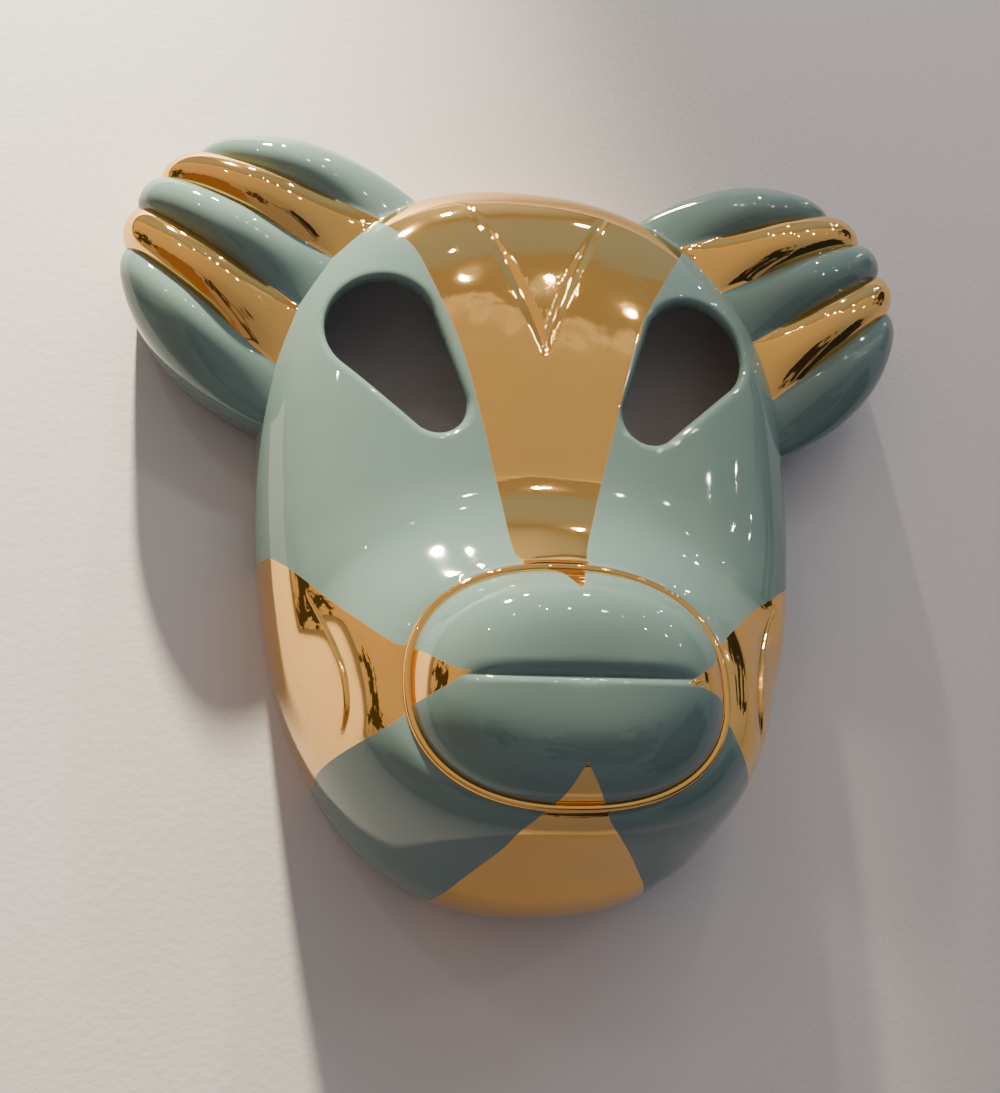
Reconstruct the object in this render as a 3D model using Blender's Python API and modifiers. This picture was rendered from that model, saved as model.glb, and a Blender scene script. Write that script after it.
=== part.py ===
"""Bear mask: one hollow glazed ceramic shell, open at the back, lying on its flat foot rim.

Metres. +Z points out of the face, +Y up the forehead, -Y to the chin. The face stands on Z = 0,
with the origin under the middle of its outline.
"""

import math

import bmesh
import bpy
from mathutils import Vector

# The shell
WALL = 0.008
# The head's outline at its foot: a superellipse whose upper and lower halves differ
HEAD_HALF_WIDTH = 0.176
HEAD_TOP_REACH = 0.187
HEAD_CHIN_REACH = 0.298
HEAD_WIDEST_Y = 0.030
HEAD_TOP_POWER = 2.25
HEAD_CHIN_POWER = 2.39
# How far the face stands out at the widest line, and how much further it does towards the chin
FACE_DEPTH = 0.098
FACE_LEAN = 0.095
SIDE_TOP_POWER = 6.0
SIDE_CHIN_POWER = 7.3
SIDE_ROUND = 3.0
# The muzzle: its outline at its foot, how far the foot and the front stand out, and its crown
MUZZLE_HALF_WIDTH = 0.0867
MUZZLE_HALF_HEIGHT = 0.0638
MUZZLE_TO_CHIN = 0.1298
MUZZLE_Y = HEAD_WIDEST_Y - HEAD_CHIN_REACH + MUZZLE_TO_CHIN
MUZZLE_OUTLINE_POWER = 2.31
MUZZLE_FRONT = 0.175
MUZZLE_FOOT_DEPTH = 0.138
MUZZLE_FOOT_LEAN = 0.150
MUZZLE_FOOT_CURL = 0.50
MUZZLE_POWER = 4.0
MUZZLE_SHOULDER = 0.75
# Points on the outline itself belong to the face round it
MUZZLE_EDGE = 0.999
# The cheeks swell out to the muzzle over this share of its size, and the chin stands out further
CHEEK_SWELL = 0.72
CHIN_LEAN = 0.28
# The bridge of the nose sweeps up to the muzzle in a hollow curve
BRIDGE_SWEEP = 1.08
BRIDGE_HOLLOW = 2.35
# The bead round the muzzle, the slip that fills its inner corner, and the mouth between two lips
BEAD_WIDTH = 0.0046
BEAD_HEIGHT = 0.0028
BEAD_FILL = 0.0019
MOUTH_DEPTH = 0.0034
MOUTH_UPPER_LIP = 0.0100
MOUTH_LOWER_LIP = 0.0048
MOUTH_HALF_LENGTH = 0.0660
MOUTH_LIP_POWER = 2.2
MOUTH_END_POWER = 4.0
# The eye holes, each the outline round a large and a small circle
EYE_LARGE = Vector((0.1020, 0.0865))
EYE_LARGE_RADIUS = 0.0340
EYE_SMALL = Vector((0.0675, 0.0350))
EYE_SMALL_RADIUS = 0.0180
EYE_ROLL = 0.0060
# The roll meets the face a hair above it, as a share of the roll, so that the cut leaves no sliver
EYE_ROLL_LIFT = 0.02
# The ears: an oval dome on the wall side, scored into lobes that narrow outwards
EAR_CENTRE = Vector((0.1488, 0.1250))
EAR_ANGLE = math.radians(28.0)
EAR_REACH = 0.1190
EAR_OUTLINE_POWER = 2.1
EAR_DOME_POWER = 4.0
EAR_WIDEST_Z = 0.048
EAR_DEPTH_AT_HEAD = 0.060
EAR_DEPTH_OUTSIDE = 0.080
EAR_DEPTH_FADE = (-0.030, 0.060)
EAR_UNDERCUT = 0.0060
EAR_SIDE_SPAN = (-0.15, 0.58)
LOBES = 5
LOBE_PITCH = 0.0397
LOBE_TAPER = 0.107
LOBE_OFFSET = 0.0017
LOBE_VALLEY = 0.0088
LOBE_FADE = (-0.030, 0.045)
LOBE_ARC = math.radians(56.0)
# The valleys are shallower on the ear's rim
LOBE_RIM_SHARE = 0.50
LOBE_RIM_POWER = 6.0
# The outer lobes are rolled under, so the ear is a little narrower than its lobes laid flat
LOBE_ROLL_UNDER = 0.00225
EAR_HALF_WIDTH = 0.5 * LOBES * LOBE_PITCH - LOBE_ROLL_UNDER
# The engraved V on the forehead and the crescent crease on each cheek
VEE_FOOT = Vector((0.0, 0.0720))
VEE_BEND = Vector((0.0172, 0.1240))
VEE_TOP = Vector((0.0520, 0.1920))
VEE_WIDTH = 0.0085
VEE_DEPTH = 0.0016
CREASE_TOP = Vector((0.1418, MUZZLE_Y + 0.0547))
CREASE_BEND = Vector((0.1192, MUZZLE_Y + 0.0052))
CREASE_FOOT = Vector((0.1225, MUZZLE_Y - 0.0328))
CREASE_WIDTH = 0.0080
CREASE_DEPTH = 0.0024
# A groove's ends run out of the clay: how full its middle is, and how far its ends lift
GROOVE_FULLNESS = 0.6
GROOVE_END_LIFT = 0.25

# How finely each surface is faceted
HEAD_COLUMNS = 60
MUZZLE_ROWS = (0.0, 0.17, 0.34, 0.50, 0.66, 0.79, 0.89, 0.955, 1.0)
BEAD_ROWS = (0.22, 0.50, 0.78, 1.0)
FACE_ROWS = (0.10, 0.22, 0.36, 0.52, 0.68, 0.84, 1.0)
SIDE_ROWS = (0.62, 0.40, 0.18, 0.0)
SIDE_START = 0.885
CAVITY_COLUMNS = 36
CAVITY_MUZZLE_ROWS = (0.0, 0.33, 0.62, 0.84, 0.96)
CAVITY_FACE_ROWS = (0.0, 0.30, 0.60, 1.0)
CAVITY_SIDE_ROWS = (0.60, 0.30, 0.0)
FACETS_PER_LOBE = 6
EAR_ROWS = 13
CAVITY_FACETS_PER_LOBE = 4
CAVITY_EAR_ROWS = 9
# Rows of the ear's side, below its widest line: 1 is the wall plane and 2 lies behind it
EAR_SIDE_ROWS = (2.0, 1.0, 0.5)
EYE_FACETS = 32
GROOVE_FACETS = 4
VEE_STEPS = 9
CREASE_STEPS = 13
# How far the head, the ears and their hollows run past the wall plane before the foot is cut flat
HEAD_OVERRUN = 0.010
EAR_OVERRUN = 0.008
CAVITY_OVERRUN = 0.014
FOOT_CUT = 0.040


def clear_scene():
    for item in list(bpy.data.objects):
        bpy.data.objects.remove(item, do_unlink=True)


def power_norm(x, y, power):
    return (abs(x) ** power + abs(y) ** power) ** (1.0 / power)


def smooth_step(value):
    value = min(max(value, 0.0), 1.0)
    return value * value * (3.0 - 2.0 * value)


def fade(value, span):
    """0 before the span, 1 past it, and a smooth step over it."""
    return smooth_step((value - span[0]) / (span[1] - span[0]))


def mix(start, end, share):
    return start + (end - start) * share


def even(count):
    return [step / (count - 1) for step in range(count)]


def bisect(test, low, high):
    """The value between low and high at which the test turns true."""
    for _ in range(40):
        middle = 0.5 * (low + high)
        if test(middle):
            high = middle
        else:
            low = middle
    return 0.5 * (low + high)


def head_half(up):
    """The reach and the outline's power of the head's upper or lower half."""
    if up > 0.0:
        return HEAD_TOP_REACH, HEAD_TOP_POWER
    return HEAD_CHIN_REACH, HEAD_CHIN_POWER


def side_power(y):
    """The shoulder between face and side is squarer towards the chin."""
    return mix(SIDE_TOP_POWER, SIDE_CHIN_POWER, smooth_step(-2.0 * y / HEAD_CHIN_REACH))


def head_share(x, y):
    """0 at the middle of the head, 1 on its outline."""
    up = y - HEAD_WIDEST_Y
    reach, power = head_half(up)
    return power_norm(x / HEAD_HALF_WIDTH, up / reach, power)


def muzzle_share(x, y):
    """0 at the middle of the muzzle, 1 on its foot."""
    up = y - MUZZLE_Y
    return power_norm(x / MUZZLE_HALF_WIDTH, up / MUZZLE_HALF_HEIGHT, MUZZLE_OUTLINE_POWER)


def muzzle_foot(y):
    """How far out the foot of the muzzle lies, further towards the chin."""
    up = y - MUZZLE_Y
    return MUZZLE_FOOT_DEPTH - MUZZLE_FOOT_LEAN * up + MUZZLE_FOOT_CURL * up * up


def muzzle_height(x, y):
    """The muzzle's own surface. The slip fills the corner between it and the bead."""
    foot = muzzle_foot(y) + BEAD_FILL
    rise = (1.0 - min(muzzle_share(x, y), 1.0) ** MUZZLE_POWER) ** MUZZLE_SHOULDER
    return foot + rise * (MUZZLE_FRONT - foot)


def bead_swell(part):
    """How far the bead stands out of its foot, from the muzzle's side to the cheek's."""
    fill = BEAD_FILL if part < 0.5 else 0.0
    return fill + (BEAD_HEIGHT - fill) * math.sqrt(1.0 - (2.0 * part - 1.0) ** 2)


def mouth_drop(x, y):
    """The mouth: a groove between two rounded lips, fading at its ends."""
    lip = MOUTH_UPPER_LIP if y > MUZZLE_Y else MOUTH_LOWER_LIP
    across = min(abs(y - MUZZLE_Y) / lip, 1.0)
    along = min(abs(x) / MOUTH_HALF_LENGTH, 1.0)
    return MOUTH_DEPTH * (1.0 - across) ** MOUTH_LIP_POWER * (1.0 - along**MOUTH_END_POWER)


def face_height(x, y):
    """How far the face stands out at a place inside the head's outline."""
    head = min(head_share(x, y), 1.0)
    height = (FACE_DEPTH - FACE_LEAN * y) * (1.0 - head ** side_power(y)) ** (1.0 / SIDE_ROUND)
    muzzle = muzzle_share(x, y)
    if muzzle < MUZZLE_EDGE:
        return muzzle_height(x, y)
    ring_y = mix(MUZZLE_Y, y, 1.0 / muzzle)
    foot = muzzle_foot(ring_y) - CHIN_LEAN * min(y - ring_y, 0.0)
    cheek = min((muzzle - 1.0) / CHEEK_SWELL, 1.0)
    bridge = min(max((muzzle - 1.0 - BEAD_WIDTH / MUZZLE_HALF_HEIGHT) / BRIDGE_SWEEP, 0.0), 1.0)
    upward = max((ring_y - MUZZLE_Y) / MUZZLE_HALF_HEIGHT, 0.0) ** 2
    rise = mix((1.0 - cheek) ** 2 * (1.0 + 2.0 * cheek), (1.0 - bridge) ** BRIDGE_HOLLOW, upward)
    return height + rise * max(foot - height, 0.0)


def outline_table(samples=360):
    """Points down the right half of the head's outline, chin to top, with the length so far."""
    table = []
    length = 0.0
    for step in range(samples + 1):
        turn = math.pi * (step / samples - 0.5)
        reach, power = head_half(turn)
        x = HEAD_HALF_WIDTH * abs(math.cos(turn)) ** (2.0 / power)
        y = HEAD_WIDEST_Y + math.copysign(reach * abs(math.sin(turn)) ** (2.0 / power), turn)
        if table:
            length += math.hypot(x - table[-1][1], y - table[-1][2])
        table.append((length, x, y))
    return table


def outline_point(table, share):
    """The outline's point at a share of its length, from the chin up to the top."""
    wanted = share * table[-1][0]
    for low, high in zip(table, table[1:]):
        if high[0] >= wanted:
            part = (wanted - low[0]) / (high[0] - low[0])
            return mix(low[1], high[1], part), mix(low[2], high[2], part)
    return table[-1][1:]


def muzzle_ring(turn):
    """A point of the muzzle's outline and the way out of it, for a turn from chin to nose."""
    power = MUZZLE_OUTLINE_POWER
    across = abs(math.cos(turn)) ** (2.0 / power)
    up = math.copysign(abs(math.sin(turn)) ** (2.0 / power), turn)
    place = Vector((MUZZLE_HALF_WIDTH * across, MUZZLE_Y + MUZZLE_HALF_HEIGHT * up))
    lean_across = across ** (power - 1.0) / MUZZLE_HALF_WIDTH
    lean_up = math.copysign(abs(up) ** (power - 1.0), turn) / MUZZLE_HALF_HEIGHT
    return place, Vector((lean_across, lean_up)).normalized()


def head_column(table, share, side, muzzle_rows, bead_rows, face_rows, side_rows):
    """The points of one column of the head, from the mouth out over the bead to the foot rim."""
    turn = math.pi * (share - 0.5)
    ring, out = muzzle_ring(turn)
    points = []
    for part in muzzle_rows:
        x, y = part * ring.x, mix(MUZZLE_Y, ring.y, part)
        points.append((x, y, muzzle_height(x, y)))
    rim = outline_point(table, share)
    start = ring
    for part in bead_rows:
        start = ring + out * (part * BEAD_WIDTH)
        points.append((start.x, start.y, face_height(start.x, start.y) + bead_swell(part)))

    def along(part):
        return mix(start.x, rim[0], part), mix(start.y, rim[1], part)

    shoulder = bisect(lambda part: head_share(*along(part)) > SIDE_START, 0.0, 1.0)
    for part in face_rows:
        x, y = along(part * shoulder)
        points.append((x, y, face_height(x, y)))
    for level in side_rows:
        wanted = (1.0 - level**SIDE_ROUND) ** (1.0 / side_power(rim[1]))
        part = bisect(lambda value: head_share(*along(value)) > wanted, 0.0, 1.0)
        x, y = along(part) if level > 0.0 else rim
        points.append((x, y, face_height(x, y) if level > 0.0 else 0.0))
    points.append((rim[0], rim[1], -HEAD_OVERRUN))
    return [Vector((side * x, y, z)) for x, y, z in points]


def close_below(bm):
    """Caps the open foot of a dome."""
    bmesh.ops.remove_doubles(bm, verts=bm.verts, dist=1e-5)
    edges = [edge for edge in bm.edges if edge.is_boundary]
    cap = bmesh.ops.contextual_create(bm, geom=edges)["faces"]
    bmesh.ops.poke(bm, faces=cap)
    bmesh.ops.recalc_face_normals(bm, faces=bm.faces)


def finish_mesh(name, bm, collection):
    mesh = bpy.data.meshes.new(name)
    bm.to_mesh(mesh)
    bm.free()
    item = bpy.data.objects.new(name, mesh)
    collection.objects.link(item)
    return item


def inset_surface(bm, depth):
    """Moves a dome's surface inwards by its wall, and its lowest row straight below that."""
    bm.normal_update()
    moved = {vert: vert.co - vert.normal * depth for vert in bm.verts}
    lowest = [vert for vert in bm.verts if vert.co.z < -0.5 * HEAD_OVERRUN]
    for vert in lowest:
        neighbours = [edge.other_vert(vert) for edge in vert.link_edges]
        above = max(neighbours, key=lambda other: other.co.z)
        moved[vert] = Vector((moved[above].x, moved[above].y, -CAVITY_OVERRUN))
    for vert, place in moved.items():
        vert.co = place


def press_mouth(bm):
    """Presses the mouth's groove into the muzzle."""
    for vert in bm.verts:
        if muzzle_share(*vert.co.xy) < 1.0:
            vert.co.z -= mouth_drop(*vert.co.xy)


def head_solid(name, collection, columns, rows, inset=0.0):
    """A dome of columns that run from the mouth to the foot rim."""
    table = outline_table()
    half = columns // 2
    grid = []
    for column in range(columns):
        side = 1.0 if column <= half else -1.0
        share = column / half if column <= half else (columns - column) / half
        grid.append(head_column(table, share, side, *rows))
    bm = bmesh.new()
    bmesh.ops.create_grid(bm, x_segments=columns, y_segments=len(grid[0]) - 1, size=0.5)
    for vert in bm.verts:
        column = round((vert.co.x + 0.5) * columns) % columns
        row = round((vert.co.y + 0.5) * (len(grid[0]) - 1))
        vert.co = grid[column][row]
    bmesh.ops.remove_doubles(bm, verts=bm.verts, dist=1e-5)
    bmesh.ops.recalc_face_normals(bm, faces=bm.faces)
    if inset:
        inset_surface(bm, inset)
    else:
        press_mouth(bm)
    close_below(bm)
    return finish_mesh(name, bm, collection)


def lobe_line(lobe, along):
    """How far across the ear the line between two lobes lies."""
    return LOBE_OFFSET + (0.5 * LOBES - lobe) * (LOBE_PITCH - LOBE_TAPER * along)


def lobe_sink(lobe):
    """How deep a round lobe lies below its crown: 0 on the crown, 1 in the valleys beside it."""
    off = math.sin(LOBE_ARC) * (2.0 * (lobe % 1.0) - 1.0)
    return (1.0 - math.sqrt(1.0 - off**2)) / (1.0 - math.cos(LOBE_ARC))


class EarDome:
    """The ear's oval dome, or the hollow in it, which is smaller all round by the wall."""

    def __init__(self, inset):
        self.inset = inset
        self.reach = EAR_REACH - inset
        self.half_width = EAR_HALF_WIDTH - inset

    def share(self, along, across):
        """0 at the middle of the oval, 1 on its outline."""
        return power_norm(along / self.reach, across / self.half_width, EAR_OUTLINE_POWER)

    def rim_across(self, along):
        part = 1.0 - abs(along / self.reach) ** EAR_OUTLINE_POWER
        return self.half_width * part ** (1.0 / EAR_OUTLINE_POWER)

    def line_end(self, lobe, reach):
        """Where a line between two lobes meets the oval, outside or under the head."""

        def beyond(part):
            return self.share(part * reach, lobe_line(lobe, part * reach)) > 1.0

        return bisect(beyond, 0.0, 1.0) * reach

    def plan(self, part, lobe):
        """A point seen from the front: part runs along the lobes, lobe counts across them."""
        edge = min(max(lobe, 0.5), LOBES - 0.5)
        sweep = 0.5 + 0.5 * math.sin(math.pi * (part - 0.5))
        along = mix(self.line_end(edge, -self.reach), self.line_end(edge, self.reach), sweep)
        inner = Vector((along, lobe_line(edge, along)))
        if edge == lobe:
            return inner
        side = 1.0 if lobe < edge else -1.0
        along = mix(*EAR_SIDE_SPAN, sweep) * self.reach
        rim = Vector((along, side * self.rim_across(along)))
        out = math.sin(math.pi * min(abs(lobe - edge), 0.5))
        place = inner.lerp(rim, out)
        return place * (mix(self.share(*inner), 1.0, out) / self.share(*place))

    def surface(self, plan, lobe):
        """The surface over a point of the plan, sunk towards the lines between the lobes."""
        along, across = plan
        share = min(self.share(along, across), 1.0)
        depth = mix(EAR_DEPTH_AT_HEAD, EAR_DEPTH_OUTSIDE, fade(along, EAR_DEPTH_FADE))
        top = depth - EAR_WIDEST_Z - self.inset
        height = top * math.sqrt(max(1.0 - share**EAR_DOME_POWER, 0.0))
        power = EAR_OUTLINE_POWER
        slope = EAR_DOME_POWER * share ** (EAR_DOME_POWER - power)
        lean_along = slope * abs(along / self.reach) ** (power - 1.0) / self.reach
        lean_across = slope * abs(across / self.half_width) ** (power - 1.0) / self.half_width
        normal = Vector(
            (
                math.copysign(lean_along, along),
                math.copysign(lean_across, across),
                2.0 * height / top**2,
            )
        ).normalized()
        sink = 0.0
        if 0.5 < lobe < LOBES - 0.5:
            sink = lobe_sink(lobe) * LOBE_VALLEY * fade(along, LOBE_FADE)
            sink *= mix(1.0, LOBE_RIM_SHARE, share**LOBE_RIM_POWER)
        return Vector((along, across, EAR_WIDEST_Z + height)) - normal * sink

    def point(self, part, lobe, below):
        """A point of the dome, or of its side below the widest line, in the mask's frame."""
        place = self.surface(self.plan(part, lobe), lobe)
        if below > 0.0:
            flat = place.xy
            flat -= flat.normalized() * (EAR_UNDERCUT * min(below, 1.0) ** 2)
            behind = -EAR_OVERRUN - self.inset
            place = Vector((*flat, EAR_WIDEST_Z * (1.0 - below) if below <= 1.0 else behind))
        cosine, sine = math.cos(EAR_ANGLE), math.sin(EAR_ANGLE)
        x = EAR_CENTRE.x + place.x * cosine - place.y * sine
        y = EAR_CENTRE.y + place.x * sine + place.y * cosine
        return Vector((x, y, place.z))


def ear_solid(name, collection, facets, rows, inset=0.0):
    """A dome on a grid of lobe lines, with rows for its side round the whole outline."""
    dome = EarDome(inset)
    side = len(EAR_SIDE_ROWS)
    across = LOBES * facets
    bm = bmesh.new()
    width, length = across + 2 * side, rows + 2 * side
    bmesh.ops.create_grid(bm, x_segments=width, y_segments=length, size=0.5)
    for vert in bm.verts:
        column = round((vert.co.x + 0.5) * width)
        row = round((vert.co.y + 0.5) * length)
        layer = min(column, row, width - column, length - row)
        below = EAR_SIDE_ROWS[layer] if layer < side else 0.0
        lobe = min(max(column - side, 0), across) / facets
        part = min(max(row - side, 0), rows) / rows
        vert.co = dome.point(part, lobe, below)
    close_below(bm)
    return finish_mesh(name, bm, collection)


def eye_outline(grow):
    """The outline round the eye's two circles, grown by a margin."""
    run = EYE_SMALL - EYE_LARGE
    heading = math.atan2(run.y, run.x)
    lean = math.acos((EYE_LARGE_RADIUS - EYE_SMALL_RADIUS) / run.length)
    arcs = (
        (EYE_LARGE, EYE_LARGE_RADIUS, heading + lean, heading + 2.0 * math.pi - lean),
        (EYE_SMALL, EYE_SMALL_RADIUS, heading - lean, heading + lean),
    )
    points = []
    for centre, radius, start, end in arcs:
        for share in even(EYE_FACETS // 2):
            turn = mix(start, end, share)
            points.append(centre + Vector((math.cos(turn), math.sin(turn))) * (radius + grow))
    return points


def eye_levels(turns=3):
    """The plug's outline grows as it rises through the rolled edge: pairs of growth and rise."""
    levels = [(0.0, -4.5 * WALL)]
    for step in range(turns + 1):
        turn = 0.5 * math.pi * step / turns
        rise = mix(-1.0, EYE_ROLL_LIFT, math.sin(turn))
        levels.append((EYE_ROLL * (1.0 - math.cos(turn)), EYE_ROLL * rise))
    levels.append((1.4 * EYE_ROLL, 0.2 * EYE_ROLL))
    levels.append((1.4 * EYE_ROLL, 3.0 * EYE_ROLL))
    return levels


def eye_cutter(collection):
    """A plug through the wall whose upper rows flare, so that the hole's edge rolls in."""
    levels = eye_levels()
    bm = bmesh.new()
    bmesh.ops.create_grid(bm, x_segments=EYE_FACETS, y_segments=len(levels) - 1, size=0.5)
    for vert in bm.verts:
        column = round((vert.co.x + 0.5) * EYE_FACETS) % EYE_FACETS
        grow, rise = levels[round((vert.co.y + 0.5) * (len(levels) - 1))]
        place = eye_outline(grow)[column]
        vert.co = (place.x, place.y, face_height(place.x, place.y) + rise)
    bmesh.ops.remove_doubles(bm, verts=bm.verts, dist=1e-5)
    bmesh.ops.holes_fill(bm, edges=bm.edges, sides=0)
    bmesh.ops.triangulate(bm, faces=[face for face in bm.faces if len(face.verts) > 4])
    bmesh.ops.recalc_face_normals(bm, faces=bm.faces)
    return finish_mesh("eye_cutter", bm, collection)


def groove_cutter(name, collection, route, width, depth):
    """A tapered tube laid along the face, sunk into it by the groove's depth."""
    radius = (0.25 * width**2 + depth**2) / (2.0 * depth)
    curve = bpy.data.curves.new(name, "CURVE")
    curve.dimensions = "3D"
    curve.bevel_depth = radius
    curve.bevel_resolution = GROOVE_FACETS
    curve.use_fill_caps = True
    spline = curve.splines.new("POLY")
    spline.points.add(len(route) - 1)
    for point, place, share in zip(spline.points, route, even(len(route))):
        fullness = max(4.0 * share * (1.0 - share), 0.0) ** GROOVE_FULLNESS
        sunk = depth * mix(-GROOVE_END_LIFT, 1.0, fullness)
        point.co = (place.x, place.y, face_height(place.x, place.y) + radius - sunk, 1.0)
    tube = bpy.data.objects.new(name + "_curve", curve)
    collection.objects.link(tube)
    bpy.context.view_layer.update()
    graph = bpy.context.evaluated_depsgraph_get()
    mesh = bpy.data.meshes.new_from_object(tube.evaluated_get(graph))
    bm = bmesh.new()
    bm.from_mesh(mesh)
    bmesh.ops.remove_doubles(bm, verts=bm.verts, dist=1e-5)
    bmesh.ops.recalc_face_normals(bm, faces=bm.faces)
    bm.to_mesh(mesh)
    bm.free()
    bpy.data.objects.remove(tube, do_unlink=True)
    cutter = bpy.data.objects.new(name, mesh)
    collection.objects.link(cutter)
    return cutter


def bow(start, bend, end, count):
    """Points along a bow through three points."""
    pull = 2.0 * bend - 0.5 * (start + end)
    return [start.lerp(pull, share).lerp(pull.lerp(end, share), share) for share in even(count)]


def foot_cutter(collection):
    """A block below the wall plane, which cuts the foot rim flat."""
    bm = bmesh.new()
    bmesh.ops.create_cube(bm, size=1.0)
    span = 6.0 * HEAD_CHIN_REACH
    bmesh.ops.scale(bm, vec=(span, span, FOOT_CUT), verts=bm.verts)
    bmesh.ops.translate(bm, vec=(0.0, 0.0, -0.5 * FOOT_CUT), verts=bm.verts)
    return finish_mesh("foot_cutter", bm, collection)


def add_boolean(item, operation, tool):
    modifier = item.modifiers.new(f"{operation.lower()} {tool.name}", "BOOLEAN")
    modifier.operation = operation
    modifier.object = tool
    modifier.solver = "EXACT"


def glaze_material():
    material = bpy.data.materials.new("celadon_glaze")
    material.use_nodes = True
    shader = material.node_tree.nodes["Principled BSDF"]
    shader.inputs["Base Color"].default_value = (0.30, 0.42, 0.41, 1.0)
    shader.inputs["Roughness"].default_value = 0.08
    shader.inputs["Metallic"].default_value = 0.0
    material.diffuse_color = (0.30, 0.42, 0.41, 1.0)
    return material


def build():
    clear_scene()
    scene = bpy.context.scene
    bear = bpy.data.collections.new("bear_mask")
    cutters = bpy.data.collections.new("cutters")
    scene.collection.children.link(bear)
    scene.collection.children.link(cutters)

    outer_rows = (MUZZLE_ROWS, BEAD_ROWS, FACE_ROWS, SIDE_ROWS)
    inner_rows = (CAVITY_MUZZLE_ROWS, (), CAVITY_FACE_ROWS, CAVITY_SIDE_ROWS)
    mask = head_solid("mask", bear, HEAD_COLUMNS, outer_rows)
    ear = ear_solid("ear_form", cutters, FACETS_PER_LOBE, EAR_ROWS)
    cavity = head_solid("head_cavity", cutters, CAVITY_COLUMNS, inner_rows, WALL)
    ear_cavity = ear_solid("ear_cavity", cutters, CAVITY_FACETS_PER_LOBE, CAVITY_EAR_ROWS, WALL)
    vee_line = bow(VEE_FOOT, VEE_BEND, VEE_TOP, VEE_STEPS)
    vee = groove_cutter("vee_cutter", cutters, vee_line, VEE_WIDTH, VEE_DEPTH)
    crease_line = bow(CREASE_TOP, CREASE_BEND, CREASE_FOOT, CREASE_STEPS)
    crease = groove_cutter("crease_cutter", cutters, crease_line, CREASE_WIDTH, CREASE_DEPTH)
    eye = eye_cutter(cutters)
    foot = foot_cutter(cutters)

    add_boolean(mask, "UNION", ear)
    for tool in (cavity, ear_cavity, eye, vee, crease, foot):
        add_boolean(mask, "DIFFERENCE", tool)
    mirror = mask.modifiers.new("both sides", "MIRROR")
    mirror.use_axis[0] = True
    mirror.use_bisect_axis[0] = True
    mirror.bisect_threshold = 0.00001
    mirror.merge_threshold = 0.0001

    top = max(vert.co.y for vert in ear.data.vertices)
    middle = -0.5 * (top + HEAD_WIDEST_Y - HEAD_CHIN_REACH)
    mask.location.y = middle
    for tool in cutters.objects:
        tool.location.y = middle
        tool.hide_render = True
        tool.display_type = "WIRE"
    mask.data.materials.append(glaze_material())
    mask.data.shade_smooth()
    mask.data.set_sharp_from_angle(angle=math.radians(40.0))


build()
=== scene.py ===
import math

import bmesh
import bpy
import numpy
from mathutils import Euler, Matrix, Vector


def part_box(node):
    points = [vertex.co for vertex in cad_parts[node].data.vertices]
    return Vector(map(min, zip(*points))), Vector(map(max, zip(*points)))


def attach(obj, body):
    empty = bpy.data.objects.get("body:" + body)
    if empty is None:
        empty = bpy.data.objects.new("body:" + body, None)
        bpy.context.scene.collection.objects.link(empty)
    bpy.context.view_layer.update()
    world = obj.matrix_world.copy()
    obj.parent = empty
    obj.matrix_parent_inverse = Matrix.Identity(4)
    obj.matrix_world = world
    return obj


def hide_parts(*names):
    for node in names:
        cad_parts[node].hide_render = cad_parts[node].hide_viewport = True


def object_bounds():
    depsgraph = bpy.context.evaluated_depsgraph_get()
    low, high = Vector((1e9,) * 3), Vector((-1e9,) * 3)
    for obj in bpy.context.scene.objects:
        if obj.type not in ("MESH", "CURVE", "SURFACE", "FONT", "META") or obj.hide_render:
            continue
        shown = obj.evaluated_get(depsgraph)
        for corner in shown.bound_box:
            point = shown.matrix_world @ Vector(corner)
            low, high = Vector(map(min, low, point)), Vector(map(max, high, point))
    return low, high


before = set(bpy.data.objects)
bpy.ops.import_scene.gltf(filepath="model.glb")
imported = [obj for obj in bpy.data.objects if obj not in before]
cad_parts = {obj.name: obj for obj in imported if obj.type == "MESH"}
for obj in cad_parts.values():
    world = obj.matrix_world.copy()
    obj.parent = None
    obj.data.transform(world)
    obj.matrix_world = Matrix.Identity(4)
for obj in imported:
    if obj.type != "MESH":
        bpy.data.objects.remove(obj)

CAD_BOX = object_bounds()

# Looks of the bear mask: a slip-cast shell with a celadon glaze and fields of gold lustre.
# Metres. +Z points out of the face, +Y up the forehead, -Y to the chin. The mask lies on its
# flat foot rim. The face is worked out round its own middle line and then moved by FACE_SHIFT.

# The shell
WALL = 0.008
# The head's outline at its foot: a superellipse whose upper and lower halves differ
HEAD_HALF_WIDTH = 0.176
HEAD_TOP_REACH = 0.187
HEAD_CHIN_REACH = 0.298
HEAD_WIDEST_Y = 0.030
HEAD_TOP_POWER = 2.25
HEAD_CHIN_POWER = 2.39
# How far the face stands out at the widest line, and how much further it does towards the chin
FACE_DEPTH = 0.098
FACE_LEAN = 0.095
SIDE_TOP_POWER = 6.0
SIDE_CHIN_POWER = 7.3
SIDE_ROUND = 3.0
# The muzzle, its bead and the mouth
MUZZLE_HALF_WIDTH = 0.0867
MUZZLE_HALF_HEIGHT = 0.0638
MUZZLE_TO_CHIN = 0.1298
MUZZLE_Y = HEAD_WIDEST_Y - HEAD_CHIN_REACH + MUZZLE_TO_CHIN
MUZZLE_OUTLINE_POWER = 2.31
MUZZLE_FRONT = 0.175
MUZZLE_FOOT_DEPTH = 0.138
MUZZLE_FOOT_LEAN = 0.150
MUZZLE_FOOT_CURL = 0.50
MUZZLE_POWER = 4.0
MUZZLE_SHOULDER = 0.75
# Points on the outline itself belong to the face round it
MUZZLE_EDGE = 0.999
# The cheeks swell out to the muzzle over this share of its size, and the chin stands out further
CHEEK_SWELL = 0.72
CHIN_LEAN = 0.28
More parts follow.
